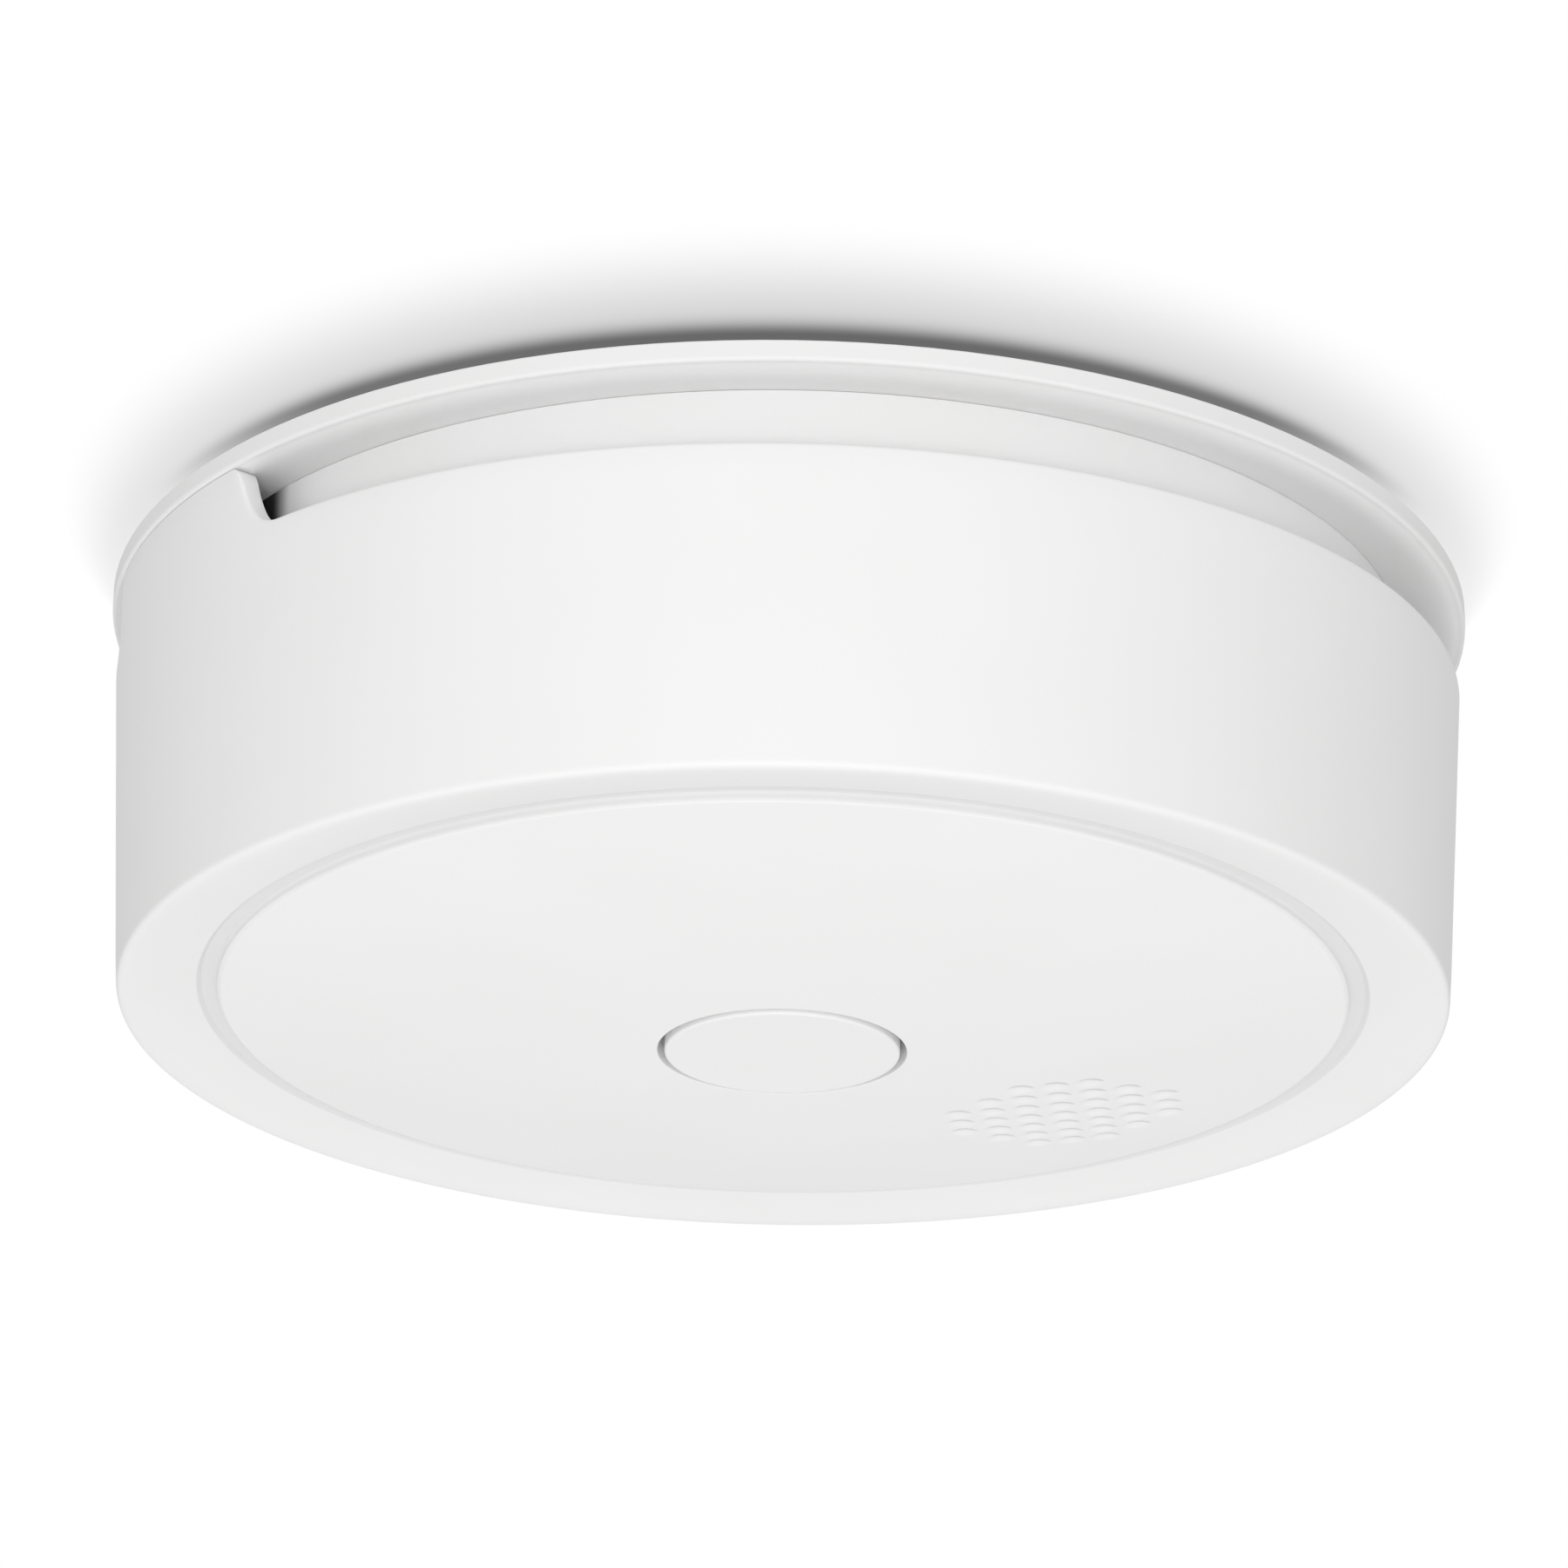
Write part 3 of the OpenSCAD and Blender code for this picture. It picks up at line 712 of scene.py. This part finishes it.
class Finish(Graph):
    """A procedural material on a Principled shader, kept in FINISHES under its slot's name."""

    def __init__(self, slot, roughness, metallic=0.0):
        self.material = bpy.data.materials.new(slot)
        super().__init__(self.material)
        self.shader = self.nodes["Principled BSDF"]
        self.set("Roughness", roughness)
        self.set("Metallic", metallic)
        self.place = self.node("TexCoord").outputs["Object"]
        FINISHES[slot] = self

    def set(self, name, value):
        self.feed(self.shader.inputs[name], value)

    def noise(self, scale, detail=2.0, stretch=(1, 1, 1)):
        mapping = self.node("Mapping")
        self.feed(mapping.inputs["Scale"], stretch)
        self.feed(mapping.inputs["Vector"], self.place)
        texture = self.node("TexNoise")
        self.feed(texture.inputs["Scale"], scale)
        self.feed(texture.inputs["Detail"], detail)
        self.feed(texture.inputs["Vector"], mapping.outputs["Vector"])
        return texture.outputs["Fac"]

    def bands(self, scale, direction):
        texture = self.node("TexWave", wave_type="BANDS", bands_direction=direction)
        self.feed(texture.inputs["Scale"], scale)
        self.feed(texture.inputs["Vector"], self.place)
        return texture.outputs["Fac"]

    def colour(self, fac, *stops):
        """Colours the surface by a ramp through (position, colour) stops."""
        ramp = self.node("ValToRGB")
        for element, (position, colour) in zip(ramp.color_ramp.elements, stops):
            element.position = position
            element.color = (*colour, 1)
        self.feed(ramp.inputs["Fac"], fac)
        self.set("Base Color", ramp.outputs["Color"])

    def darken(self, amount, most=1.0):
        """Mixes the colour towards black by a share that another node gives, up to a most."""
        share = self.math("MULTIPLY", amount, most)
        black = self.node("MixRGB")
        self.feed(black.inputs["Fac"], share)
        self.feed(black.inputs["Color1"], self.shader.inputs["Base Color"].links[0].from_socket)
        self.feed(black.inputs["Color2"], (0, 0, 0, 1))
        self.set("Base Color", black.outputs["Color"])

    def roughness(self, fac, low, high):
        self.set("Roughness", self.spread(fac, 0.0, 1.0, low, high, kind="LINEAR"))

    def bump(self, fac, height):
        """Raises the surface by up to a height in metres."""
        node = self.node("Bump")
        self.feed(node.inputs["Strength"], 1.0)
        self.feed(node.inputs["Distance"], height)
        self.feed(node.inputs["Height"], fac)
        self.set("Normal", node.outputs["Normal"])

    def away_from(self, x, y):
        """Distance in plan from an upright line through (x, y) in millimetres; the distance is in metres."""
        flat = self.vector_math("MULTIPLY", self.place, (1, 1, 0))
        return self.vector_math("DISTANCE", flat, (x * MM, y * MM, 0), output="Value")


# ---- Kinds of finish ----


def grey(value, warmth=0.0):
    return (value * (1 + warmth), value, value * (1 - warmth))


def moulded(slot, light, dark, roughness, grain=2500.0, height=0.00001):
    """Moulded plastic: fine grain, slight mottling and a little uneven sheen."""
    finish = Finish(slot, roughness)
    finish.colour(finish.noise(60.0), (0.35, dark), (0.65, light))
    finish.roughness(finish.noise(180.0, 4.0), roughness - 0.05, roughness + 0.05)
    finish.bump(finish.noise(grain), height)


def metal(slot, light, dark, roughness, stretch=(1, 1, 1)):
    """Bare metal with faint drawing lines and a patchy polish."""
    finish = Finish(slot, roughness, metallic=1.0)
    finish.colour(finish.noise(300.0, 3.0, stretch), (0.3, dark), (0.7, light))
    finish.roughness(finish.noise(500.0, 4.0, stretch), roughness - 0.08, roughness + 0.1)
    finish.bump(finish.noise(1500.0, 2.0, stretch), 0.000008)


def laminate(slot):
    """Green circuit board with lighter copper runs under the mask."""
    finish = Finish(slot, 0.35)
    cells = finish.node("TexVoronoi", feature="DISTANCE_TO_EDGE", distance="EUCLIDEAN")
    finish.feed(cells.inputs["Scale"], 220.0)
    finish.feed(cells.inputs["Vector"], finish.place)
    finish.colour(cells.outputs["Distance"], (0.06, (0.04, 0.2, 0.07)), (0.1, (0.015, 0.1, 0.035)))
    finish.bump(cells.outputs["Distance"], 0.00003)


def banded(slot, scale, direction, low, high, roughness, metallic=0.0):
    """A printed or wound surface with bands along one axis; low and high are (position, colour) stops."""
    finish = Finish(slot, roughness, metallic)
    fac = finish.bands(scale, direction)
    finish.colour(fac, low, high)
    finish.bump(fac, 0.00005)


def clear(slot, tint):
    finish = Finish(slot, roughness=0.08)
    finish.colour(finish.noise(80.0), (0.3, grey(tint[1])), (0.7, tint))
    finish.set("Transmission Weight", 0.9)
    finish.set("IOR", 1.49)


moulded("cover_white", grey(0.87), grey(0.86, 0.002), 0.52)
moulded("shell_white", grey(0.93), grey(0.92, 0.004), 0.5)
metal("zinc_steel", grey(0.72, 0.01), grey(0.55), 0.3)
metal("spring_steel", grey(0.66), grey(0.5), 0.28)
moulded("black_plastic", grey(0.03), grey(0.02), 0.45)
moulded("plunger_plastic", (0.6, 0.55, 0.4), (0.55, 0.5, 0.36), 0.45)
laminate("board_laminate")
moulded("chip_epoxy", grey(0.035), grey(0.02), 0.6, grain=6000.0)
metal("tinned_metal", grey(0.78), grey(0.6), 0.25)
moulded("component_body", (0.12, 0.08, 0.05), (0.07, 0.05, 0.03), 0.5)
banded("capacitor_sleeve", 60.0, "Z", (0.3, (0.02, 0.02, 0.05)), (0.8, (0.05, 0.06, 0.12)), 0.3)
moulded("ferrite", grey(0.09), grey(0.05), 0.75, grain=4000.0, height=0.00003)
banded("copper_wire", 900.0, "Z", (0.2, (0.3, 0.09, 0.03)), (0.8, (0.72, 0.3, 0.12)), 0.28, metallic=1.0)
moulded("led_body", (0.8, 0.78, 0.7), (0.7, 0.68, 0.6), 0.3)
moulded("chamber_plastic", grey(0.018), grey(0.012), 0.7, grain=3000.0, height=0.00004)
metal("screen_metal", grey(0.5), grey(0.35), 0.4)
clear("led_lens_blue", (0.6, 0.7, 0.95))
clear("led_lens_dark", (0.08, 0.03, 0.04))
moulded("horn_plastic", grey(0.05), grey(0.03), 0.5)
moulded("foam_rubber", grey(0.06), grey(0.03), 0.9, grain=5000.0, height=0.00008)
metal("brass_disc", (0.75, 0.55, 0.22), (0.6, 0.42, 0.15), 0.3, stretch=(1, 8, 1))
moulded("piezo_ceramic", (0.78, 0.76, 0.7), (0.68, 0.66, 0.6), 0.35, grain=8000.0)
banded("battery_jacket", 14.0, "X", (0.35, (0.03, 0.035, 0.05)), (0.5, (0.45, 0.4, 0.3)), 0.3)
clear("clear_guide", (0.9, 0.94, 0.96))


# ---- Shade in the white finishes ----


def shade_cover(finish):
    """Darkens the cover and the button by the painted shade that their meshes carry."""
    finish.darken(finish.node("Attribute", attribute_name="shade").outputs["Fac"])
    finish.set("Specular IOR Level", 0.3)


def shade_shell(finish):
    """Darkens the flange's lip a little, and the housing behind each end of the cover's legs a lot, both with
    painted shade.
    """
    # Painted shade: the flange's lip a little darker
    lip = finish.spread(finish.away_from(0, 0), (FLANGE_R - 0.9) * MM, (FLANGE_R - 0.3) * MM)
    finish.darken(lip, LIP_SHADE)
    # Painted shade: the housing nearly black behind each leg end
    housing = box_mm("rear_housing")[1]
    offset = INLET_SPAN / 2 + POCKET_TURN
    turns = [middle + side * offset for middle in (INLET_DIR, INLET_DIR + 180) for side in (-1, 1)]
    gaps = [finish.away_from(*around(housing.x, turn)) for turn in turns]
    nearest = gaps[0]
    for gap in gaps[1:]:
        nearest = finish.math("MINIMUM", nearest, gap)
    pocket = finish.spread(nearest, POCKET_DARK * MM, POCKET_END * MM, 1.0, 0.0)
    height = finish.split(finish.place)["Z"]
    below_flange = finish.spread(height, (housing.z + 0.01) * MM, (housing.z + 0.04) * MM, 1.0, 0.0)
    finish.darken(finish.math("MULTIPLY", pocket, below_flange), POCKET_SHADE)
    finish.set("Specular IOR Level", 0.3)


def dress(made, slot):
    made.data.materials.clear()
    made.data.materials.append(FINISHES[slot].material)


shade_cover(FINISHES["cover_white"])
shade_shell(FINISHES["shell_white"])
for entry in frame["record"]["subparts"]:
    dress(frame["nodes"][entry["node"]], entry["material_slot"])
for piece in ("cover_shell", "button_cap"):
    dress(bpy.data.objects[piece], "cover_white")
dress(bpy.data.objects["coil_spring"], "spring_steel")


# ---- Ceiling ----


def contact_shadow(graph):
    """Brightness of the ceiling with a painted contact shadow: a dark edge round the flange and a soft
    fringe, strongest towards -Y.
    """
    place = graph.split(graph.node("TexCoord").outputs["Object"])
    x, y = place["X"], place["Y"]
    squares = graph.math("ADD", graph.math("MULTIPLY", x, x), graph.math("MULTIPLY", y, y))
    radius = graph.math("SQRT", squares)
    towards = graph.math("DIVIDE", graph.math("MULTIPLY", y, -1.0), radius, clamp=True)
    away = graph.math("MAXIMUM", graph.math("SUBTRACT", radius, FLANGE_R * MM), 0.0)
    width = graph.math("MULTIPLY", graph.math("POWER", towards, 1.4), SHADOW_EDGE * MM)
    across = graph.math("DIVIDE", away, graph.math("MAXIMUM", width, SHADOW_LEAST * MM))
    fall = graph.math("EXPONENT", graph.math("MULTIPLY", graph.math("POWER", across, 2.0), -1.0))
    edge = graph.math("MULTIPLY", fall, graph.spread(towards, 0.4, 0.8, 0.0, SHADOW_EDGE_DEPTH))
    reach = graph.math("MAXIMUM", graph.math("MULTIPLY", towards, SHADOW_FRINGE * MM), SHADOW_LEAST * MM)
    fade = graph.spread(graph.math("DIVIDE", away, reach), 0.0, 1.0, 1.0, 0.0)
    depth = graph.math("MULTIPLY", graph.math("POWER", towards, 0.55), SHADOW_FRINGE_DEPTH)
    fringe = graph.math("MULTIPLY", fade, depth)
    return graph.math("SUBTRACT", graph.math("SUBTRACT", 1.0, edge), fringe, clamp=True)


def ceiling_paint():
    """Paint that glows, to read as pure white away from the alarm, darkened by the painted contact shadow.
    Only the camera sees it, from below.
    """
    material = bpy.data.materials.new("ceiling_paint")
    graph = Graph(material)
    graph.nodes.clear()
    output = graph.node("OutputMaterial")
    lit = graph.node("Emission")
    colour = graph.node("CombineColor")
    light = contact_shadow(graph)
    for channel in ("Red", "Green", "Blue"):
        graph.feed(colour.inputs[channel], light)
    graph.feed(lit.inputs["Color"], colour.outputs["Color"])
    seen = graph.node("LightPath").outputs["Is Camera Ray"]
    behind = graph.node("NewGeometry").outputs["Backfacing"]
    share = graph.math("SUBTRACT", seen, behind, clamp=True)
    unseen = graph.node("BsdfTransparent").outputs["BSDF"]
    graph.feed(output.inputs["Surface"], graph.mix_shaders(share, unseen, lit.outputs["Emission"]))
    return material


def build_ceiling():
    bm = bmesh.new()
    half = CEILING_HALF
    corners = [(-half, -half), (-half, half), (half, half), (half, -half)]
    bm.faces.new([bm.verts.new((x, y, CEILING_GAP)) for x, y in corners])
    ceiling = make_object("ceiling", bm)
    if ceiling.data.polygons[0].normal.z > 0:
        ceiling.data.flip_normals()
    ceiling.data.materials.append(ceiling_paint())


# ---- Light and camera ----


def area_light(name, place, power):
    lamp = bpy.data.lights.new(name, "AREA")
    lamp.shape = "DISK"
    lamp.size = LIGHT_SIZE
    lamp.energy = power
    made = bpy.data.objects.new(name, lamp)
    made.location = place
    made.rotation_euler = (Vector(LIGHT_AIM) - Vector(place)).to_track_quat("-Z", "Y").to_euler()
    bpy.context.scene.collection.objects.link(made)


def build_studio():
    """Even light from all round, dimmed towards +X and -X as if by dark cards; the background is white."""
    world = bpy.data.worlds.new("studio")
    graph = Graph(world)
    sky = graph.nodes["Background"]
    sideways = graph.split(graph.node("TexCoord").outputs["Generated"])["X"]
    level = graph.math("MULTIPLY_ADD", graph.math("POWER", sideways, 2.0), -SIDE_DARKNESS, WORLD_LIGHT)
    graph.feed(sky.inputs["Color"], (1, 1, 1, 1))
    graph.feed(sky.inputs["Strength"], level)
    white = graph.node("Background")
    graph.feed(white.inputs["Color"], (1, 1, 1, 1))
    graph.feed(white.inputs["Strength"], 1.0)
    seen = graph.node("LightPath").outputs["Is Camera Ray"]
    shader = graph.mix_shaders(seen, sky.outputs["Background"], white.outputs["Background"])
    graph.feed(graph.nodes["World Output"].inputs["Surface"], shader)
    bpy.context.scene.world = world


def build_camera():
    data = bpy.data.cameras.new("camera")
    data.lens = CAMERA_LENS
    data.sensor_width = 36
    camera = bpy.data.objects.new("camera", data)
    camera.location = CAMERA_AT
    aim = Euler((math.radians(90 + CAMERA_PITCH), 0, math.radians(CAMERA_YAW))).to_quaternion()
    camera.rotation_mode = "QUATERNION"
    camera.rotation_quaternion = aim @ Quaternion((0, 0, 1), math.radians(CAMERA_ROLL))
    bpy.context.scene.collection.objects.link(camera)
    bpy.context.scene.camera = camera
    bpy.context.scene.view_settings.view_transform = "Standard"


build_ceiling()
area_light("front", FRONT_LIGHT, FRONT_POWER)
area_light("below", BELOW_LIGHT, BELOW_POWER)
build_studio()
build_camera()
